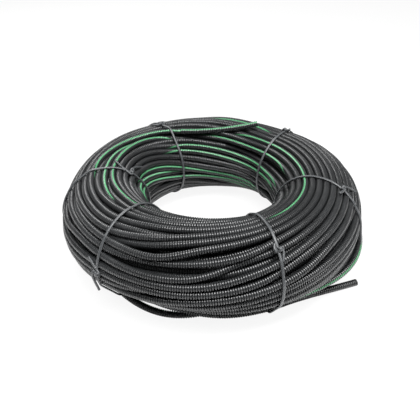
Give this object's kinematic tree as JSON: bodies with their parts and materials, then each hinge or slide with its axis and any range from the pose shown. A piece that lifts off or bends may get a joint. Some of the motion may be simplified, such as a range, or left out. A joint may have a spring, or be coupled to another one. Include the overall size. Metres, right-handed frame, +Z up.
{
  "type": "corrugated conduit coil",
  "caption": "Flat round coil of thin corrugated plastic conduit with two free cut ends, held by twisted ties round the bundle; cables are threaded through its bore.",
  "frame": {"origin": "on the floor under the coil's axis", "axes": "+Z up along the coil's axis, +X to the side that the front free end points to, -Y to the front"},
  "size_m": [0.3348, 0.332, 0.1034],
  "materials": {
    "conduit_plastic": "semi-gloss black plastic with a thin mint green line along it",
    "tie_coating": "dark grey plastic-coated wire"
  },
  "bodies": {
    "root": {"conduit": "conduit_plastic", "tie_back_left": "tie_coating", "tie_left": "tie_coating", "tie_front_left": "tie_coating", "tie_front_right": "tie_coating", "tie_right": "tie_coating", "tie_back_right": "tie_coating"}
  },
  "joints": []
}
